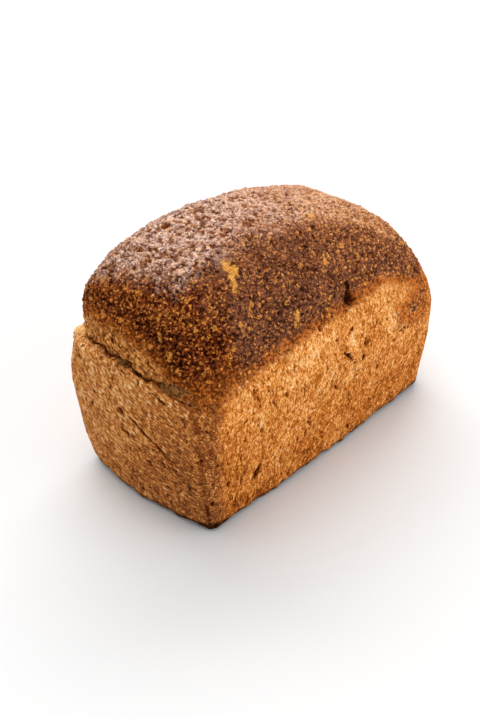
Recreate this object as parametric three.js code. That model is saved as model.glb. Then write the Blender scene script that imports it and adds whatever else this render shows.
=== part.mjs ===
// A spelt loaf baked in a tin: one solid with flared walls, an arched top that leans to one side,
// and a torn seam across one end where the crust lifted away from the wall in the oven.
// X runs along the loaf, Y across it and Z up, in millimetres. The torn end faces -X.
import * as THREE from 'three';
import { mergeVertices } from 'three/addons/utils/BufferGeometryUtils.js';

// Body left by the tin: base size, flare of each wall from the base to the tin's rim, corner radii.
const baseLength = 193;
const baseWidth = 98;
const tinDepth = 84;
const flare = { nearEnd: 9, farEnd: 7.7, frontSide: 5.6, backSide: 11.5 };
const wallBow = 0.28;
const baseCornerRadius = 6;
const rimCornerRadius = 20;
const endBulge = 7;
const sideBulge = 1.9;
const baseEdgeRadius = 1.8;

// Arched top: full height, lean of the crown, and how square each flank of the arch is.
const loafHeight = 139.5;
const archStart = 58;
const crownLean = { x: -13, y: 23.5 };
const squareness = { nearEnd: 6.6, farEnd: 3, frontSide: 2.65, backSide: 3.1 };
const archPower = 1.55;
const crownSwell = { depth: 2.8, length: 125, peak: -27 };

// Crust line round the loaf: its height at the corners and its rise between them. It is torn open as
// a seam across the near end and a way along the back.
const crustLine = { nearFront: 77, nearBack: 83, farFront: 83, farBack: 86 };
const crustLift = { nearEnd: 9.5, farEnd: 7, frontSide: 8, backSide: 5 };
const seam = { ledge: 6, ledgeHeight: 13, crack: 3.5, crackHeight: 3, lip: 0.8, lipHeight: 5 };
const brow = { depth: 3.6, height: 31, spread: 10 };

// Unevenness of hand-shaped dough.
const lumpDepth = 0.5;
const raggedDepth = 0.6;
const raggedHeight = 14;

// Facets along each side of the loaf and up its walls.
const facets = { round: 36, up: 16 };
const crowding = 0.25;

const { clamp, lerp, smoothstep } = THREE.MathUtils;

// Moves evenly spaced stations towards both ends of their run, where the corners need them.
function crowd(t, pull) {
  return t * (1 + pull - pull * t * t);
}

// Squareness of the arch in the direction (u, v), blended from side to side round the corners.
function archSquareness(u, v) {
  const along = Math.abs(u) ** 4;
  const across = Math.abs(v) ** 4;
  const end = u < 0 ? squareness.nearEnd : squareness.farEnd;
  const side = v < 0 ? squareness.frontSide : squareness.backSide;
  return (end * along + side * across) / (along + across);
}

// Height of the crust line in the direction (u, v) of the unit square's edge.
function crustHeight(u, v) {
  const front = lerp(crustLine.nearFront, crustLine.farFront, (u + 1) / 2);
  const back = lerp(crustLine.nearBack, crustLine.farBack, (u + 1) / 2);
  const end = u < 0 ? crustLift.nearEnd : crustLift.farEnd;
  const side = v < 0 ? crustLift.frontSide : crustLift.backSide;
  return lerp(front, back, (v + 1) / 2) + end * (1 - v ** 2) + side * (1 - u ** 6);
}

// How far the seam has opened in a direction, as a crack across the near end and a gap round the near
// back corner. Both close along the back.
function seamOpening(u, v) {
  const open = 1 - smoothstep(u, -0.6, 0.5);
  return { crack: open * smoothstep(v, -0.85, -0.5), gap: open * smoothstep(v, 0.1, 0.9) };
}

// Smooth hump of unit height.
function hump(distance, spread) {
  return Math.exp(-((distance / spread) ** 2));
}

// Outward offset near the seam, by the height above it: a rolled lip below, a crack above it, and in
// the gap a ledge under a brow.
function seamOffset(above, opening) {
  if (above <= 0) return opening.crack * seam.lip * hump(above, seam.lipHeight);
  const crack = seam.crack * hump(above, seam.crackHeight);
  const ledge = seam.ledge * hump(above, seam.ledgeHeight);
  const overhang = brow.depth * hump(above - brow.height, brow.spread);
  return lerp(-opening.crack * crack, overhang - ledge, opening.gap);
}

// The arch's outline fraction at a height, and the height at an outline fraction.
function archFraction(z, square) {
  const rise = clamp((z - archStart) / (loafHeight - archStart), 0, 1);
  return (1 - rise ** archPower) ** (1 / square);
}

function archHeight(fraction, square) {
  return archStart + (loafHeight - archStart) * (1 - fraction ** square) ** (1 / archPower);
}

// Outward swell of the middle of a wall that faces the first of two directions.
function bulge(depth, facing, aside) {
  return depth * Math.sign(facing) * Math.abs(facing) ** 40 * (1 - aside * aside);
}

// Point of the loaf's rounded outline in the direction (u, v), with its outward normal.
function outline(u, v, z, fraction) {
  const t = clamp(z / tinDepth, 0, 1);
  const spread = t + wallBow * 4 * t * (1 - t);
  const reach = (base, out) => (base / 2 + out * spread) * fraction;
  const low = new THREE.Vector2(-reach(baseLength, flare.nearEnd), -reach(baseWidth, flare.frontSide));
  const high = new THREE.Vector2(reach(baseLength, flare.farEnd), reach(baseWidth, flare.backSide));
  const roundest = Math.min(high.x - low.x, high.y - low.y) / 2;
  const corner = lerp(baseCornerRadius, rimCornerRadius, t) * fraction;
  const radius = Math.min(lerp(roundest, corner, fraction), 0.999 * roundest);

  const square = new THREE.Vector2(u * (u < 0 ? -low.x : high.x), v * (v < 0 ? -low.y : high.y));
  const inner = square.clone().clamp(low.clone().addScalar(radius), high.clone().addScalar(-radius));
  const normal = square.sub(inner).normalize();
  const point = inner.addScaledVector(normal, radius);
  point.x += bulge(endBulge, u, v) * fraction + crownLean.x * (1 - fraction);
  point.y += bulge(sideBulge, v, u) * fraction + crownLean.y * (1 - fraction);
  return { point, normal };
}

// Ragged swell of the foot of the walls, which fades upwards.
function raggedOffset(point, z) {
  const wave = Math.sin(point.x / 9.5) + Math.sin(point.y / 7 + 1) + Math.sin((point.x - point.y) / 4.3);
  return (raggedDepth / 2) * wave * hump(z, raggedHeight);
}

// Maps a point on the surface of the box |u|, |v| <= 1, 0 <= w <= 1 to the loaf.
function loafPoint(u, v, w) {
  const ring = Math.max(Math.abs(u), Math.abs(v));
  const du = ring > 0 ? crowd(u / ring, crowding * ring) : 1;
  const dv = ring > 0 ? crowd(v / ring, crowding * ring) : 0;
  const square = archSquareness(du, dv);
  const crust = crustHeight(du, dv);
  const onTop = w === 1 && ring < 1;
  const atCrust = archFraction(crust, square);
  const climb = (crowd(2 * w - 1, crowding) + 1) / 2;
  const fraction = onTop ? atCrust * (1 - (1 - ring) ** 2) : archFraction(climb * crust, square);
  const z = onTop ? archHeight(fraction, square) : climb * crust;

  const { point, normal } = outline(du, dv, z, fraction);
  const edge = w === 0 ? -baseEdgeRadius : 0;
  const offset = seamOffset(z - crust, seamOpening(du, dv)) + raggedOffset(point, z) + edge;
  point.addScaledVector(normal, offset);
  if (w === 0) point.multiplyScalar(ring);
  return new THREE.Vector3(point.x, point.y, z);
}

// Low waves over the whole crust above the base.
function lump({ x, y, z }) {
  const wave = Math.sin(x / 13 + 0.7 * Math.sin(z / 17)) * Math.sin(y / 11 + z / 19 + 2)
    + 0.6 * Math.sin(x / 7.5 + y / 9 + 1) * Math.sin(z / 8 - y / 12);
  return lumpDepth * wave * smoothstep(z, 0, 12);
}

// Long swells along the crown, where the crust faces up.
function swell({ x }, up) {
  const wave = Math.cos((2 * Math.PI * (x - crownSwell.peak)) / crownSwell.length);
  return crownSwell.depth * wave * Math.max(up, 0) ** 2;
}

// Turns the diagonals of a box's top and bottom quads towards the middle, so none folds across a corner.
function turnDiagonals(box) {
  const index = box.getIndex();
  const position = box.getAttribute('position');
  for (let i = 0; i < index.count; i += 6) {
    const [a, b, d, , c] = index.array.slice(i, i + 6);
    const middle = (position.getX(b) + position.getX(d)) * (position.getY(b) + position.getY(d));
    const slope = (position.getX(d) - position.getX(b)) * (position.getY(d) - position.getY(b));
    if (slope * middle < 0) index.array.set([a, b, c, a, c, d], i);
  }
}

function loafGeometry() {
  const { round, up } = facets;
  const box = new THREE.BoxGeometry(2, 2, 1, round, round, up).translate(0, 0, 0.5);
  turnDiagonals(box);
  box.deleteAttribute('normal');
  box.deleteAttribute('uv');
  const geometry = mergeVertices(box);
  const position = geometry.getAttribute('position');
  const at = new THREE.Vector3();
  for (let i = 0; i < position.count; i += 1) {
    at.fromBufferAttribute(position, i);
    position.setXYZ(i, ...loafPoint(at.x, at.y, at.z));
  }
  geometry.computeVertexNormals();
  const normal = geometry.getAttribute('normal');
  const out = new THREE.Vector3();
  for (let i = 0; i < position.count; i += 1) {
    at.fromBufferAttribute(position, i);
    out.fromBufferAttribute(normal, i);
    at.addScaledVector(out, lump(at) + swell(at, out.z));
    position.setXYZ(i, at.x, at.y, at.z);
  }
  return geometry;
}

// The origin is the middle of the underside's bounding box.
function standOnOrigin(geometry) {
  geometry.computeBoundingBox();
  const middle = geometry.boundingBox.getCenter(new THREE.Vector3());
  return geometry.translate(-middle.x, -middle.y, 0);
}

const crustMaterial = new THREE.MeshStandardMaterial({ color: 0xa0663a, roughness: 0.75, metalness: 0 });
const loaf = new THREE.Mesh(standOnOrigin(loafGeometry()), crustMaterial);
loaf.name = 'loaf';

const bread = new THREE.Group();
bread.add(loaf);
export default bread;
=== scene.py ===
"""A spelt loaf baked in a tin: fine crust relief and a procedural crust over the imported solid."""
import math

import bmesh
import bpy
import numpy as np
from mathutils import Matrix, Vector, noise


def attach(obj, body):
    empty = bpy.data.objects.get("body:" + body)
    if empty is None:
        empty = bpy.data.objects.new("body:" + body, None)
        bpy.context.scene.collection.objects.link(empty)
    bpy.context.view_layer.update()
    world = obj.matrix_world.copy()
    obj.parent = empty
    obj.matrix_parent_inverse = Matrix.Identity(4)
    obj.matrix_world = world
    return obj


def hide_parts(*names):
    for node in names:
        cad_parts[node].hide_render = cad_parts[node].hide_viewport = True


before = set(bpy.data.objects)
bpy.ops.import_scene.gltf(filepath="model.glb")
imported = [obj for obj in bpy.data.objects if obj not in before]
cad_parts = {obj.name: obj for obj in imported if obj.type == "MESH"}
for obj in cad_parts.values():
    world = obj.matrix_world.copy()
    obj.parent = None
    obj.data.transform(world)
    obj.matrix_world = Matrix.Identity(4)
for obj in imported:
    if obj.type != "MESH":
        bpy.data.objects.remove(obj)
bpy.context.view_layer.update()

# Seed of the noise that bends the cells of the relief.
SEED = 7
noise.seed_set(SEED)

# Fine mesh: its spacing in millimetres while the relief is made, and its triangles after thinning.
SPACING = 0.65
SMOOTHING_ROUNDS = 5
TRIANGLES = 190000

# Middle, rim and crust line of the solid, in millimetres. X runs along the loaf, with the torn end at -X.
MIDDLE = (-0.8, 3.0)
RIM = {"near": 107.0, "far": 106.0, "front": 55.5, "back": 61.5}
CRUST_LINE = {"near_front": 77.0, "near_back": 83.0, "far_front": 83.0, "far_back": 86.0}
CRUST_LIFT = {"near": 9.5, "far": 7.0, "front": 8.0, "back": 5.0}

# Browning, in millimetres: the pale band above the seam, how far the dark crust comes down at the two
# front corners, and how softly it darkens upwards.
TORN_HEIGHT = 11.0
CORNER_DROP = 8.0
FAR_DROP = 8.0
FADE = {"side": 12.0, "end": 14.0, "corner": 40.0}

# Ways that the crown's paler part and its sheen face. The paler part is paler crust and partly painted
# light on the side that faces the window.
PALE_AND_LIT_WAY = (0.45, 0.75, 0.55)
SHEEN_WAY = (0.05, 0.28, 0.96)

# Heights and depths of the relief, in millimetres.
DEPTH = {
    "swell": 0.35, "blister": 0.45, "bark": 0.45, "plate": 0.45, "sink": 0.8, "crackle": 0.8,
    "fibre": 0.30, "streak": 0.24, "pore": 1.4, "pinhole": 0.8, "crater": 0.5, "fold": 1.4,
    "crumb": 1.1, "pocket": 1.8, "seam": 3.5, "flake": 2.2, "foot": 1.2,
}

# Crumb of the walls: drawn upwards on the sides and along a slope on the torn end, with folds at random.
DRAWN_UP = (1.0, 1.0, 0.6)
END_SLOPE = math.radians(22)
FOLDS = 70
END_FOLD_LEAN = math.radians(62)

# Single marks, in millimetres. Holes: place, reach, depth and darkness, where the darkness is painted shade
# in the hole.
HOLES = [
    ((19.0, -49.5, 95.5), 5.0, 5.5, 1.0),
    ((-49.5, 26.0, 140.2), 3.2, 2.4, 0.7),
    ((-111.0, 0.4, 62.9), 2.6, 1.8, 0.9),
    ((14.0, -55.4, 79.7), 1.6, 1.2, 0.9),
    ((1.6, -58.5, 51.6), 1.4, 1.0, 0.8),
    ((52.6, -58.3, 55.8), 1.5, 1.0, 0.8),
    ((53.8, -58.1, 49.5), 1.5, 1.0, 0.8),
]
# Creases: start, end, width and depth.
CREASES = [
    ((1.0, -58.5, 74.0), (8.0, -58.5, 66.0), 0.9, 1.6),
    ((8.0, -58.5, 66.0), (14.0, -58.5, 58.5), 1.1, 1.8),
    ((13.5, -58.0, 46.0), (20.5, -58.0, 50.0), 1.1, 1.6),
    ((56.0, -58.0, 59.0), (65.0, -58.0, 59.0), 0.9, 1.2),
    ((20.0, -45.0, 103.0), (18.6, -48.5, 97.0), 2.0, 0.8),
    ((-66.0, -55.0, 21.5), (-62.5, -55.0, 27.5), 2.2, 2.8),
    ((-110.8, -7.0, 62.0), (-108.6, -35.0, 44.0), 1.4, 1.3),
]
# Pockets in the torn band: place, reach and depth.
POCKETS = [
    ((-104.0, -33.0, 88.5), (5.0, 11.0, 3.6), 2.8),
    ((-105.5, 2.0, 89.5), (4.0, 6.5, 2.6), 2.2),
    ((-101.5, -44.0, 83.0), (4.0, 5.0, 1.8), 2.2),
]
# Pale scrapes in the dark crust: start, end and width.
SCRAPES = [
    ((-53.0, -21.5, 134.6), (-51.5, -25.5, 132.2), 4.6),
    ((-54.0, -27.0, 130.6), (-57.2, -32.0, 126.0), 2.5),
    ((-25.5, -47.5, 101.0), (-24.0, -46.5, 104.0), 2.0),
    ((11.5, -36.0, 116.0), (12.5, -35.0, 117.5), 1.8),
    ((25.0, -13.0, 132.0), (27.0, -13.5, 131.5), 1.8),
    ((-100.0, -21.0, 111.0), (-99.0, -19.0, 113.0), 1.6),
]
# Soft patches: place and reach.
SMUDGE = ((78.0, -57.0, 70.0), (21.0, 9.0, 11.0))
FLAKE = ((-93.0, 51.0, 83.0), (5.0, 5.0, 4.5))
BURNT_FEET = [((90.0, -50.0, 1.0), (13.0, 6.0, 6.0)), ((-98.0, -47.0, 0.0), (18.0, 16.0, 7.0))]

# Zones of the crust that the material reads.
ZONE_WEIGHTS = (
    "bake", "tear", "burn", "edge", "end", "low", "shaded", "crown", "deep", "rind", "gloss_and_lit", "far",
    "upper", "flake", "scrape",
)

# Colours by tone, from dark to pale.
WALL_RAMP = [
    (0.42, (0.090, 0.016, 0.002)), (0.51, (0.390, 0.100, 0.012)), (0.58, (0.680, 0.242, 0.045)),
    (0.65, (0.900, 0.450, 0.145)), (0.74, (1.000, 0.720, 0.420)),
]
FRONT_RAMP = [
    (0.75, (0.036, 0.009, 0.003)), (1.00, (0.108, 0.031, 0.011)), (1.22, (0.228, 0.070, 0.024)),
    (1.42, (0.365, 0.107, 0.031)), (1.65, (0.840, 0.310, 0.075)), (1.85, (1.000, 0.560, 0.190)),
]
# The crown's colours are paler partly because its crust is, and partly as painted light where it faces the
# window.
CROWN_RAMP = [
    (0.75, (0.070, 0.015, 0.004)), (1.00, (0.220, 0.060, 0.017)), (1.22, (0.460, 0.148, 0.043)),
    (1.42, (0.660, 0.270, 0.100)), (1.65, (0.900, 0.440, 0.190)), (1.85, (1.000, 0.620, 0.320)),
]
DEEP_RAMP = [
    (0.75, (0.018, 0.002, 0.001)), (1.00, (0.080, 0.013, 0.002)), (1.22, (0.215, 0.045, 0.006)),
    (1.42, (0.440, 0.120, 0.019)), (1.65, (0.900, 0.350, 0.068)), (1.85, (1.000, 0.560, 0.180)),
]
TORN_RAMP = [
    (0.44, (0.040, 0.010, 0.002)), (0.58, (0.360, 0.110, 0.017)), (0.74, (0.860, 0.400, 0.110)),
]

# Single colours, and pairs that are mottled into each other.
RUSTY = (0.430, 0.110, 0.014)
BRAN = (0.090, 0.018, 0.003)
DUSTY = (0.400, 0.215, 0.100)
BROWN_EDGE = (0.150, 0.027, 0.004)
POCKET_RIM = (0.620, 0.220, 0.040)
# Painted shade for the crevices between the crown's plates.
CREVICE_SHADE = (0.480, 0.370, 0.290)
# Painted shade in hollows, and black painted shadow in the deepest of them.
HOLLOW_SHADE = (0.360, 0.220, 0.130)
DEEP_HOLLOW_SHADE = (0.018, 0.005, 0.002)
RUST = ((0.120, 0.026, 0.004), (0.660, 0.180, 0.023))
FLECK = ((0.540, 0.150, 0.020), (0.960, 0.415, 0.072))
MEMBRANE = ((0.075, 0.024, 0.006), (0.370, 0.165, 0.048))
GOLD = ((0.750, 0.230, 0.020), (1.000, 0.540, 0.110))
# Pale crumb of the flake, with a painted highlight of light from behind it.
BACKLIT_CREAM = ((0.800, 0.320, 0.070), (1.000, 0.680, 0.300))
CHARRED = ((0.012, 0.004, 0.002), (0.130, 0.036, 0.007))
FLOOR = ((0.72, 0.72, 0.72), (0.75, 0.75, 0.75))

# Studio, in metres and watts. Lights: name, place, width, height and power.
FLOOR_HALF = 6.0
FLOOR_GAP = 0.0002
LIGHTS = [
    ("window", (2.25, 2.88, 3.48), 6.2, 1.9, 185.0),
    ("ceiling", (-0.60, 0.10, 3.20), 2.4, 2.4, 34.0),
    ("fill", (0.60, -1.40, 0.45), 1.2, 1.2, 11.0),
]
LIGHT_TARGET = (0, 0, 0.07)
SURROUNDING_LIGHT = 0.63

# Camera: place in metres, dip below level and heading in degrees, lens and sensor in millimetres.
CAMERA_PLACE = (-0.37918, -0.33054, 0.37128)
CAMERA_DIP = 33.28
CAMERA_HEADING = 42.53
CAMERA_LENS = 50.0
CAMERA_SENSOR = 36.0


def step(value, low, high):
    """Smooth step from 0 at low to 1 at high."""
    t = np.clip((value - low) / (high - low), 0.0, 1.0)
    return t * t * (3.0 - 2.0 * t)


def mix(a, b, t):
    return a + (b - a) * t


def grain(points, size, octaves=1, seed=0):
    """Noise of about -1 to 1 with features of one size, in millimetres."""
    shift = Vector((17.3, 5.1, 9.7)) * (seed + 1)
    scaled = points / size
    return np.array([noise.fractal(Vector(p) + shift, 0.9, 2.0, octaves) for p in scaled])


def cells(points, spacing, bend=0.0, seed=0):
    """Uneven cells: distance to each point's own middle and to the gap, and one chance value a cell."""
    shift = Vector((3.7, 11.9, 6.1)) * (seed + 1)
    table = np.empty((3, len(points)))
    for i, point in enumerate(points / spacing):
        place = Vector(point) + shift
        place += bend * noise.noise_vector(1.6 * place)
        distances, middles = noise.voronoi(place)
        chance = math.sin(middles[0].dot(Vector((12.99, 78.23, 37.72)))) * 4375.85
        table[:, i] = distances[0], distances[1] - distances[0], chance - math.floor(chance)
    return table


def spots(points, spacing, share, least, most, seed=0):
    """Round spots of unit height: a share of the cells of one spacing holds one, of uneven size."""
    distance, _, chance = cells(points, spacing, seed=seed)
    reach = mix(least, most, chance / share)
    height = np.where(chance < share, 1 - (distance / reach) ** 2, 0.0)
    return step(height, 0.0, 0.7)


def blob(points, place, reach):
    """Soft ball or ellipsoid of unit height."""
    return np.exp(-np.sum(((points - np.array(place)) / np.array(reach)) ** 2, axis=1))


def groove(points, start, end, width):
    """Soft groove of unit depth along a straight run."""
    start, end = np.array(start), np.array(end)
    run = end - start
    t = np.clip((points - start) @ run / (run @ run), 0.0, 1.0)
    away = np.linalg.norm(points - start - t[:, None] * run, axis=1)
    return np.exp(-((away / width) ** 2))


def modified(mesh, steps):
    """The mesh after a list of modifiers. The mesh itself is used up."""
    carrier = bpy.data.objects.new("carrier", mesh)
    bpy.context.collection.objects.link(carrier)
    for settings in steps:
        modifier = carrier.modifiers.new(settings["type"], settings["type"])
        for key, value in settings.items():
            if key != "type":
                setattr(modifier, key, value)
    evaluated = carrier.evaluated_get(bpy.context.evaluated_depsgraph_get())
    result = bpy.data.meshes.new_from_object(evaluated)
    bpy.data.objects.remove(carrier)
    bpy.data.meshes.remove(mesh)
    return result


def fine_mesh(source):
    """Evenly meshed, rounded copy of a solid's mesh."""
    mesh = source.data.copy()
    bm = bmesh.new()
    bm.from_mesh(mesh)
    bmesh.ops.remove_doubles(bm, verts=bm.verts, dist=1e-6)
    bmesh.ops.join_triangles(
        bm, faces=bm.faces, angle_face_threshold=math.radians(60), angle_shape_threshold=math.radians(60)
    )
    bm.to_mesh(mesh)
    bm.free()
    rounding = {"type": "SUBSURF", "levels": 2}
    evening = {"type": "REMESH", "mode": "VOXEL", "voxel_size": SPACING / 1000}
    settling = {"type": "SMOOTH", "factor": 0.5, "iterations": SMOOTHING_ROUNDS}
    return modified(mesh, [rounding, evening, settling])


def thinned(mesh, triangles):
    """Mesh with fewer triangles, kept where the relief needs them."""
    now = sum(len(face.vertices) - 2 for face in mesh.polygons)
    thinning = {"type": "DECIMATE", "ratio": triangles / now}
    return modified(mesh, [{"type": "TRIANGULATE"}, thinning])


def read_vectors(collection, key):
    values = np.empty(len(collection) * 3)
    collection.foreach_get(key, values)
    return values.reshape(-1, 3)


def directions(points):
    """Where each point faces on the unit square round the loaf."""
    x = points[:, 0] + MIDDLE[0]
    y = points[:, 1] + MIDDLE[1]
    u = x / np.where(x < 0, RIM["near"], RIM["far"])
    v = y / np.where(y < 0, RIM["front"], RIM["back"])
    ring = np.maximum(np.maximum(abs(u), abs(v)), 1e-6)
    return u / ring, v / ring


def crust_height(u, v):
    """Height of the crust line round the loaf."""
    front = mix(CRUST_LINE["near_front"], CRUST_LINE["far_front"], (u + 1) / 2)
    back = mix(CRUST_LINE["near_back"], CRUST_LINE["far_back"], (u + 1) / 2)
    end = np.where(u < 0, CRUST_LIFT["near"], CRUST_LIFT["far"])
    side = np.where(v < 0, CRUST_LIFT["front"], CRUST_LIFT["back"])
    return mix(front, back, (v + 1) / 2) + end * (1 - v**2) + side * (1 - u**6)


class Zones:
    """Parts of the crust, each a weight from 0 to 1 for every point, and the sharper corner's height."""

    def __init__(self, points, normals):
        u, v = directions(points)
        z = points[:, 2]
        wander = 1.6 * grain(points, 16.0, 2, seed=1) + 0.9 * grain(points, 5.0, 2, seed=2)
        opening = (1 - step(u, -0.6, 0.5)) * step(v, -0.9, -0.05)
        above_seam = z - crust_height(u, v)
        above = above_seam - TORN_HEIGHT * opening + wander

        # Ends, heights and corners. The near front corner is sharper than the solid's.
        self.end = step(-u, 0.86, 1.0)
        self.far = step(points[:, 0], -40.0, 90.0)
        self.low = 1 - step(z, 0.0, 80.0)
        self.upper = step(z, 106.0, 122.0)
        self.base = step(-normals[:, 2], 0.6, 0.95) * (1 - step(z, 1.0, 4.0))
        self.shaded = self.end * step(-v, -0.3, 0.8)
        near_corner = step(-u, 0.72, 1.0) * step(-v, 0.5, 1.0)
        flat = np.hypot(normals[:, 0], normals[:, 1])
        turn = 2 * abs(normals[:, 0] * normals[:, 1]) / np.maximum(flat, 0.3) ** 2
        corner = step(turn + 0.02 * grain(points, 4.0, 2, seed=30), 0.982, 1.0)
        rounding = mix(2.0, 8.0, step(z, 0.0, 60.0)) * (1 - step(z, 64.0, 92.0))
        self.sharper = near_corner * rounding * (np.sqrt(1 + turn) - 1)

        # Browning of the top, with a smudge on the wall below it.
        fade = mix(mix(FADE["side"], FADE["end"], self.end), FADE["corner"], near_corner)
        above += CORNER_DROP * near_corner * step(turn, 0.3, 0.95)
        above += FAR_DROP * step(u, 0.50, 0.85) * step(-v, 0.5, 1.0)
        far_end = step(normals[:, 0], 0.45, 0.85) * (1 - step(z, 112.0, 132.0))
        smudge = blob(points, *SMUDGE) * (0.90 + 0.6 * grain(points, 9.0, 3, seed=3))
        browning = step(above, -0.25 * fade, fade) * (1 - 0.5 * far_end)
        self.bake = np.clip(browning + 0.95 * smudge, 0, 1)
        self.wall = (1 - self.bake) * (1 - self.base)

        # Crack of the seam, and the torn band above it.
        self.tear = opening * step(above_seam, -0.5, 1.5) * (1 - step(above, -3.0, 4.0))
        slack = 1.2 * grain(points, 6.0, 2, seed=7) + 0.8 * grain(points, 2.2, 2, seed=29)
        gape = 0.65 + 0.35 * step(grain(points, 9.0, 2, seed=8), -0.3, 0.4)
        crack = step(v, -0.88, -0.6) * (1 - step(u, -0.6, 0.3))
        self.seam = crack * gape * np.exp(-(((above_seam - 0.8 - slack) / 0.65) ** 2))

        # Crown, which is glossy on top and deep brown towards the near end. It is paler where it faces the
        # window, partly paler crust and partly painted light.
        facing = normals @ np.array(PALE_AND_LIT_WAY)
        self.crown = step(facing + 0.10 * grain(points, 20.0, 2, seed=6), 0.0, 0.42)
        self.crown *= 1 - 0.7 * step(normals[:, 1], 0.60, 0.90)
        upward = normals @ np.array(SHEEN_WAY)
        sheen = step(upward + 0.04 * grain(points, 12.0, 2, seed=20), 0.63, 0.90)
        near = 0.45 * step(-points[:, 0], 30.0, 90.0) * (1 - sheen)
        self.deep = step(near - normals[:, 0] + 0.15 * grain(points, 14.0, 2, seed=9), 0.15, 0.75)
        self.deep *= 1 - 0.85 * sheen
        self.rind = self.deep * (1 - step(z, 92.0, 120.0))
        # This weight gives the coat, and it also lifts the colour as painted light on the side that catches
        # the window.
        self.gloss_and_lit = sheen * (self.bake * (1 - 0.75 * self.far))

        # Pale flake, its colour partly a painted highlight of light from behind it, pale scrapes, brown
        # edges, and a burnt foot.
        self.flake = step(blob(points, *FLAKE) + 0.35 * grain(points, 2.5, 2, seed=21), 0.3, 0.7)
        scrape = np.max([groove(points, *part) for part in SCRAPES], axis=0)
        self.scrape = step(scrape + 0.4 * grain(points, 2.4, 3, seed=5), 0.5, 0.75)
        self.edge = corner * flat * (1 - self.bake)
        base_edge = 1 - step(z + 2.5 * grain(points, 7.0, 2, seed=4), 1.0, 7.5)
        charred = self.edge * (1 - step(z, 10.0, 48.0))
        scorched = sum(blob(points, *foot) for foot in BURNT_FEET)
        self.burn = np.clip(0.85 * base_edge + charred + 0.8 * scorched, 0, 1)


def creases(wavy, points, normals, zones):
    """Short bent folds of unit depth scattered over the walls: upright on the sides, sloping on the end."""
    chance = np.random.default_rng(5)
    flat = np.flatnonzero((zones.wall > 0.8) & (points[:, 2] > 10) & (abs(normals[:, 2]) < 0.4))
    up = np.array((0, 0, 1.0))
    result = np.zeros(len(points))
    for i in chance.choice(flat, FOLDS):
        lean = END_FOLD_LEAN if zones.end[i] > 0.5 else 0.0
        aside = np.cross(normals[i], up)
        start = points[i]
        for _ in range(2):
            angle = lean + chance.normal(0, 0.4)
            way = math.cos(angle) * up + math.sin(angle) * aside
            end = start + chance.uniform(2.0, 5.0) * way
            result = np.maximum(result, groove(wavy, start, end, chance.uniform(0.6, 1.1)))
            start = end
    return step(result, 0.1, 0.9)


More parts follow.
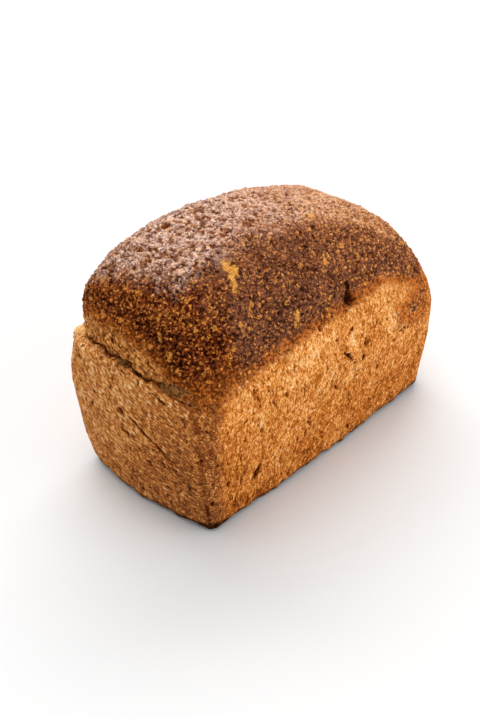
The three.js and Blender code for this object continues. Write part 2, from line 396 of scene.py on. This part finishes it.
def relief(points, normals, zones):
    """Height of the crust's relief in millimetres, and the weights that colour it, among them the painted
    shade of its hollows.
    """
    height = DEPTH["swell"] * grain(points, 14.0, 2, seed=10) + zones.sharper

    # Top of packed knobs with gaps between them, over low blisters and rough bark.
    _, gap, chance = cells(points, 2.2, bend=0.3, seed=11)
    knob = step(gap, 0.0, 0.55)
    blisters = DEPTH["blister"] * grain(points, 5.5, 2, seed=12)
    _, gap, _ = cells(points, 6.0, bend=0.5, seed=27)
    crackle = (1 - step(gap, 0.02, 0.14)) * step(grain(points, 9.0, 2, seed=28), -0.1, 0.3)
    bark = grain(points, 3.4, 3, seed=31)
    plates = step(bark, -0.42, -0.02)
    knobs = (0.45 + 0.5 * chance) * knob
    top = blisters + DEPTH["bark"] * bark + DEPTH["plate"] * plates + knobs
    height += zones.bake * (top - DEPTH["sink"] - DEPTH["crackle"] * crackle)
    # The crackle's crevices get painted shade.
    hollow_shade = 0.55 * zones.bake * crackle

    # Walls with open pores, shallow craters and creases, drawn out by the tin.
    along = points @ np.array([0.0, math.cos(END_SLOPE), math.sin(END_SLOPE)])
    across = points @ np.array([0.0, -math.sin(END_SLOPE), math.cos(END_SLOPE)])
    sloping = np.stack([points[:, 0], 0.25 * along, across], axis=1)
    drawn = points * np.array(DRAWN_UP)
    pores = spots(drawn, 5.2, 0.26, 0.16, 0.34, seed=13)
    pinholes = spots(drawn, 2.6, 0.14, 0.20, 0.36, seed=14)
    distance, _, chance = cells(points, 13.0, bend=0.15, seed=15)
    ring = np.exp(-(((distance - mix(0.18, 0.34, chance)) / 0.05) ** 2))
    craters = ring * step(grain(points, 6.0, 1, seed=16), -0.1, 0.3)
    wavy = points + 1.1 * np.stack([grain(points, 3.5, 2, seed=22 + axis) for axis in range(3)], axis=1)
    folds = creases(wavy, points, normals, zones)
    upright = DEPTH["fibre"] * grain(drawn, 4.5, 3, seed=17)
    streaks = DEPTH["streak"] * grain(sloping, 1.9, 2, seed=26)
    fibres = mix(upright, streaks, zones.end)
    height += zones.wall * (fibres - DEPTH["pore"] * pores - DEPTH["pinhole"] * pinholes)
    height -= zones.wall * (DEPTH["crater"] * craters + DEPTH["fold"] * folds)
    # Pores, craters and creases get painted shade.
    open_pores = np.maximum(pores, 0.8 * pinholes)
    dents = np.maximum(0.35 * craters, 0.85 * folds)
    hollow_shade = np.maximum(hollow_shade, zones.wall * np.maximum(open_pores, dents))

    # Torn crumb above the seam.
    crumb = grain(points * np.array([1.0, 0.45, 1.0]), 3.0, 3, seed=18)
    height += zones.tear * DEPTH["crumb"] * crumb
    # The torn crumb's hollows get painted shade.
    hollow_shade = np.maximum(hollow_shade, 0.8 * zones.tear * step(-crumb, 0.25, 0.60))

    # Single holes, creases and pockets. Holes and creases get painted shade.
    for place, reach, depth, darkness in HOLES:
        dent = step(blob(points, place, reach) + 0.2 * crumb, 0.25, 0.75)
        height -= depth * dent
        hollow_shade = np.maximum(hollow_shade, darkness * dent)
    for start, end, width, depth in CREASES:
        cut = groove(wavy, start, end, width)
        height -= depth * cut
        hollow_shade = np.maximum(hollow_shade, step(cut, 0.35, 0.8))
    pocket = np.max([depth * blob(points, place, reach) for place, reach, depth in POCKETS], axis=0)
    pocket = step(pocket + 0.9 * crumb, 0.9, 2.0)
    height -= DEPTH["pocket"] * pocket

    # Seam where the crust lifted away from the wall, and the flake at its end.
    seam = zones.seam * (1 - 0.75 * pocket)
    height -= DEPTH["seam"] * seam
    # The seam's crack gets painted shade.
    hollow_shade = np.maximum(hollow_shade, step(seam, 0.15, 0.8))
    height += DEPTH["flake"] * zones.flake

    # Lumpy foot, over a flat base.
    foot = np.exp(-((points[:, 2] / 5.0) ** 2))
    height += foot * DEPTH["foot"] * grain(points, 8.0, 2, seed=19)
    return height * (1 - zones.base), {"hollow_shade": hollow_shade, "knob": knob, "pocket": pocket, "plates": plates}


def save_weights(mesh, weights):
    for name, values in weights.items():
        layer = mesh.attributes.new(name, "FLOAT", "POINT")
        layer.data.foreach_set("value", np.asarray(values, dtype=np.float32))


def build_loaf(source):
    """The loaf's fine crust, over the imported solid."""
    mesh = fine_mesh(source)
    points = read_vectors(mesh.vertices, "co") * 1000
    normals = read_vectors(mesh.vertex_normals, "vector")
    zones = Zones(points, normals)
    height, marks = relief(points, normals, zones)
    points += normals * height[:, None]
    points[:, 2] = np.maximum(points[:, 2], 0.0)
    mesh.vertices.foreach_set("co", (points / 1000).ravel())
    save_weights(mesh, {name: getattr(zones, name) for name in ZONE_WEIGHTS})
    save_weights(mesh, marks)
    mesh.update()
    mesh = thinned(mesh, TRIANGLES)
    mesh.shade_smooth()
    mesh.materials.clear()
    mesh.materials.append(crust_material())
    piece = bpy.data.objects.new("loaf_crust", mesh)
    bpy.context.collection.objects.link(piece)
    return piece


def rgba(colour):
    """Red, green and blue with a full alpha. A socket stays as it is."""
    return (*colour, 1.0) if isinstance(colour, tuple) else colour


class Shader:
    """A material's node tree, with short ways to add nodes to it."""

    def __init__(self, name):
        self.material = bpy.data.materials.new(name)
        self.material.use_nodes = True
        self.tree = self.material.node_tree
        self.tree.nodes.clear()

    def put(self, kind, inputs, output=0, **settings):
        node = self.tree.nodes.new(kind)
        for key, value in settings.items():
            setattr(node, key, value)
        for key, value in inputs.items():
            if isinstance(value, bpy.types.NodeSocket):
                self.tree.links.new(value, node.inputs[key])
            else:
                node.inputs[key].default_value = value
        return node.outputs[output]

    def weight(self, name):
        return self.put("ShaderNodeAttribute", {}, output="Fac", attribute_name=name)

    def maths(self, operation, a, b=0.0):
        return self.put("ShaderNodeMath", {0: a, 1: b}, operation=operation)

    def times(self, a, b):
        return self.maths("MULTIPLY", a, b)

    def total(self, terms):
        """Sum of sockets, each times its share."""
        result = 0.0
        for socket, share in terms:
            result = self.put("ShaderNodeMath", {0: socket, 1: share, 2: result}, operation="MULTIPLY_ADD")
        return result

    def span(self, value, low, high):
        inputs = {"Value": value, "From Min": low, "From Max": high}
        return self.put("ShaderNodeMapRange", inputs, interpolation_type="SMOOTHSTEP")

    def blend(self, factor, a, b):
        return self.put("ShaderNodeMix", {0: factor, 2: a, 3: b}, data_type="FLOAT")

    def mix(self, factor, a, b, blend="MIX"):
        inputs = {0: factor, 6: rgba(a), 7: rgba(b)}
        return self.put("ShaderNodeMix", inputs, output=2, data_type="RGBA", blend_type=blend)

    def mottled(self, value, low, high, pair):
        """Two colours, mixed by a value."""
        return self.mix(self.span(value, low, high), *pair)

    def noise(self, at, size, detail=2.0, roughness=0.55):
        inputs = {"Vector": at, "Scale": 1 / size, "Detail": detail, "Roughness": roughness}
        return self.put("ShaderNodeTexNoise", inputs, output="Fac")

    def cells(self, at, size, output="Distance"):
        return self.put("ShaderNodeTexVoronoi", {"Vector": at, "Scale": 1 / size}, output=output)

    def channel(self, colour, name):
        return self.put("ShaderNodeSeparateColor", {"Color": colour}, output=name)

    def scatter(self, at, spacing, least, most, rarity):
        """Scattered spots: few of the cells hold one, of uneven size."""
        chance = self.cells(at, spacing, "Color")
        reach = self.blend(self.channel(chance, "Green"), least, most)
        near = self.maths("LESS_THAN", self.cells(at, spacing), reach)
        return self.times(near, self.maths("GREATER_THAN", self.channel(chance, "Red"), rarity))

    def ramp(self, value, stops):
        """Colour by value, blended between stops."""
        low, high = stops[0][0], stops[-1][0]
        value = self.put("ShaderNodeMapRange", {"Value": value, "From Min": low, "From Max": high})
        node = self.tree.nodes.new("ShaderNodeValToRGB")
        elements = node.color_ramp.elements
        while len(elements) < len(stops):
            elements.new(0.5)
        for element, (place, colour) in zip(elements, stops):
            element.position = (place - low) / (high - low)
            element.color = rgba(colour)
        self.tree.links.new(value, node.inputs["Fac"])
        return node.outputs["Color"]

    def close(self, inputs):
        """Ends the tree with one surface and returns the material."""
        surface = self.put("ShaderNodeBsdfPrincipled", inputs)
        output = self.tree.nodes.new("ShaderNodeOutputMaterial")
        self.tree.links.new(surface, output.inputs["Surface"])
        return self.material


def crust_material():
    s = Shader("crust")
    place = s.put("ShaderNodeTexCoord", {}, output="Object")
    at = s.put("ShaderNodeVectorMath", {0: place, "Scale": 1000.0}, operation="SCALE")
    bend = s.put("ShaderNodeTexNoise", {"Vector": at, "Scale": 0.5, "Detail": 2.0}, output="Color")
    bent_at = s.put("ShaderNodeVectorMath", {0: bend, 1: (2.4, 2.4, 2.4), 2: at}, operation="MULTIPLY_ADD")
    drawn_up = s.put("ShaderNodeMapping", {"Vector": at, "Scale": DRAWN_UP})
    bent_up = s.put("ShaderNodeMapping", {"Vector": bent_at, "Scale": DRAWN_UP})
    drawn_across = s.put(
        "ShaderNodeMapping",
        {"Vector": at, "Rotation": (END_SLOPE, 0, 0), "Scale": (1.0, 3.6, 1.0)},
        vector_type="TEXTURE",
    )
    end, far, deep, gloss_and_lit = (s.weight(name) for name in ("end", "far", "deep", "gloss_and_lit"))
    bake, hollow_shade, plates, pocket = (s.weight(name) for name in ("bake", "hollow_shade", "plates", "pocket"))

    # Pale wall: fine crumb drawn along the tin, with rusty patches, bran and brown edges.
    crumb_size = 1.6
    streaks = s.noise(drawn_across, 0.85, 2.0, 0.6)
    upright = s.total([(s.noise(drawn_up, 0.9, 2.0, 0.6), 0.75), (1.0, 0.125)])
    fibres = s.blend(end, upright, s.total([(streaks, 1.2), (1.0, -0.1)]))
    clumps = s.noise(drawn_up, 2.4, 3.0)
    blotches = s.noise(at, 16.0, 3.0)
    crumbs = s.channel(s.cells(bent_up, crumb_size, "Color"), "Red")
    pebbles = s.span(s.cells(bent_up, crumb_size), 0.75, 0.15)
    tone = s.total([
        (fibres, 0.60), (clumps, 0.28), (blotches, 0.20), (pebbles, 0.05), (crumbs, 0.06),
        (s.weight("low"), -0.055), (s.weight("shaded"), -0.065),
    ])
    rusty = s.span(s.noise(at, 7.0, 4.0, 0.65), 0.52, 0.68)
    specks = s.scatter(drawn_up, 3.0, 0.10, 0.26, 0.72)
    wall = s.ramp(tone, WALL_RAMP)
    wall = s.mix(s.times(rusty, 0.5), wall, RUSTY)
    wall = s.mix(s.times(specks, 0.8), wall, BRAN)
    wall = s.mix(s.times(end, 0.15), wall, DUSTY)
    wall = s.mix(s.times(s.weight("edge"), 0.9), wall, BROWN_EDGE)

    # Dark crust: knobs with dark gaps, the gaps partly darker crust and partly painted shade. It is paler
    # on the crown, partly as painted light where the crown faces the window, and darkest above the near
    # end.
    flake_size = 1.2
    grit = s.noise(at, 0.8, 3.0, 0.7)
    patches = s.noise(at, 12.0, 3.0)
    clusters = s.noise(at, 4.5, 2.0)
    flake = s.channel(s.cells(bent_at, flake_size, "Color"), "Red")
    bead = s.span(s.cells(bent_at, flake_size), 0.75, 0.15)
    # The side under the sheen is lifted in tone as painted light.
    shade = s.total([
        (flake, 0.66), (bead, 0.16), (s.weight("knob"), 0.33), (grit, 0.74), (patches, 0.30),
        (clusters, 0.30), (far, 0.14), (gloss_and_lit, 0.07), (s.weight("rind"), -0.15), (s.weight("upper"), 0.06),
        (1.0, -0.05),
    ])
    crown = s.ramp(s.total([(shade, 1.0), (far, 0.10)]), CROWN_RAMP)
    dark = s.mix(s.weight("crown"), s.ramp(shade, FRONT_RAMP), crown)
    dark = s.mix(deep, dark, s.ramp(shade, DEEP_RAMP))

    # Browning: the wall turns rust-brown and then dark towards the top, with golden flecks.
    ragged = s.maths("SUBTRACT", s.total([(s.noise(at, 2.0, 3.0), 1.0), (grit, 0.6)]), 0.8)
    swing = s.times(bake, s.maths("SUBTRACT", 1.0, bake))
    baked = s.maths("ADD", bake, s.times(swing, s.times(ragged, 4.0)))
    small = s.scatter(bent_at, 2.5, 0.14, 0.40, 0.74)
    large = s.times(s.scatter(bent_at, 4.5, 0.12, 0.40, 0.66), s.span(grit, 0.40, 0.52))
    flecks = s.times(s.maths("MAXIMUM", small, large), 0.85)
    colour = s.mix(s.span(baked, 0.05, 0.45), wall, s.mottled(shade, 0.80, 1.60, RUST))
    colour = s.mix(s.span(baked, 0.60, 1.0), colour, dark)
    colour = s.mix(s.times(flecks, s.span(baked, 0.30, 0.70)), colour, s.mottled(grit, 0.38, 0.60, FLECK))

    # Torn crumb and its pockets, pale scrapes, and the pale flake with its painted highlight.
    torn = s.total([(streaks, 0.7), (clumps, 0.3), (crumbs, 0.2)])
    colour = s.mix(s.times(s.weight("tear"), 0.9), colour, s.ramp(torn, TORN_RAMP))
    colour = s.mix(s.times(s.span(pocket, 0.05, 0.30), 0.6), colour, POCKET_RIM)
    colour = s.mix(s.span(pocket, 0.35, 0.70), colour, s.mottled(torn, 0.46, 0.70, MEMBRANE))
    colour = s.mix(s.weight("scrape"), colour, s.mottled(grit, 0.38, 0.60, GOLD))
    colour = s.mix(s.weight("flake"), colour, s.mottled(grit, 0.38, 0.60, BACKLIT_CREAM))

    # Burnt foot and corners, then painted shade in the gaps between the crown's plates and in the hollows,
    # black in the deepest.
    burnt = s.span(s.maths("ADD", s.weight("burn"), s.times(ragged, 0.8)), 0.25, 0.85)
    crevice_shade = s.times(gloss_and_lit, s.span(plates, 0.6, 0.1))
    colour = s.mix(burnt, colour, s.mottled(grit, 0.42, 0.66, CHARRED))
    colour = s.mix(crevice_shade, colour, CREVICE_SHADE, "MULTIPLY")
    colour = s.mix(s.span(hollow_shade, 0.0, 0.8), colour, HOLLOW_SHADE, "MULTIPLY")
    colour = s.mix(s.span(hollow_shade, 0.7, 1.1), colour, DEEP_HOLLOW_SHADE)

    # Fine grit of the surface, and a sheen on the crown's plates.
    soft = s.total([(fibres, 0.8), (clumps, 0.3), (pebbles, 0.25)])
    rough = s.total([(grit, 1.0), (bead, 0.35)])
    bump = {"Height": s.blend(bake, soft, rough), "Distance": 0.001}
    sheen = s.blend(s.times(gloss_and_lit, plates), s.blend(deep, 0.09, 0.02), 1.0)
    sheen = s.times(sheen, s.span(shade, 0.82, 1.15))
    sheen = s.times(sheen, s.times(bake, s.span(hollow_shade, 0.5, 0.0)))
    return s.close({
        "Base Color": colour,
        "Roughness": s.blend(bake, 0.9, 0.6),
        "Specular IOR Level": 0.02,
        "Normal": s.put("ShaderNodeBump", {**bump, "Strength": 1.0}),
        "Coat Weight": sheen,
        "Coat Roughness": 0.16,
        "Coat IOR": 2.2,
        "Coat Normal": s.put("ShaderNodeBump", {**bump, "Strength": 0.5}),
    })


def floor_material():
    s = Shader("floor")
    place = s.put("ShaderNodeTexCoord", {}, output="Object")
    pale = s.mix(s.noise(place, 0.5, 2.0), *FLOOR)
    return s.close({"Base Color": pale, "Roughness": 0.6})


def build_floor():
    mesh = bpy.data.meshes.new("floor")
    near, far = -FLOOR_HALF, FLOOR_HALF
    corners = [(near, near, 0.0), (far, near, 0.0), (far, far, 0.0), (near, far, 0.0)]
    mesh.from_pydata(corners, [], [(0, 1, 2, 3)])
    mesh.materials.append(floor_material())
    floor = bpy.data.objects.new("floor", mesh)
    floor.location.z = -FLOOR_GAP
    bpy.context.collection.objects.link(floor)
    return floor


def area_light(name, place, width, height, power):
    """A soft light panel aimed at the loaf."""
    lamp = bpy.data.lights.new(name, "AREA")
    lamp.shape = "RECTANGLE"
    lamp.size = width
    lamp.size_y = height
    lamp.energy = power
    light = bpy.data.objects.new(name, lamp)
    light.location = place
    aim = Vector(LIGHT_TARGET) - light.location
    light.rotation_euler = aim.to_track_quat("-Z", "Y").to_euler()
    bpy.context.collection.objects.link(light)


def build_studio():
    world = bpy.data.worlds.new("studio")
    world.use_nodes = True
    background = world.node_tree.nodes["Background"]
    background.inputs["Color"].default_value = (1.0, 1.0, 1.0, 1.0)
    background.inputs["Strength"].default_value = SURROUNDING_LIGHT
    bpy.context.scene.world = world
    for light in LIGHTS:
        area_light(*light)


def build_camera():
    lens = bpy.data.cameras.new("camera")
    lens.sensor_fit = "VERTICAL"
    lens.sensor_height = CAMERA_SENSOR
    lens.lens = CAMERA_LENS
    camera = bpy.data.objects.new("camera", lens)
    camera.location = CAMERA_PLACE
    camera.rotation_euler = (math.radians(90 - CAMERA_DIP), 0.0, math.radians(CAMERA_HEADING - 90))
    bpy.context.collection.objects.link(camera)
    bpy.context.scene.camera = camera


loaf = build_loaf(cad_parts["loaf"])
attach(loaf, "root")
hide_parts("loaf")

build_floor()
build_studio()
build_camera()
bpy.context.scene.view_settings.view_transform = "Standard"
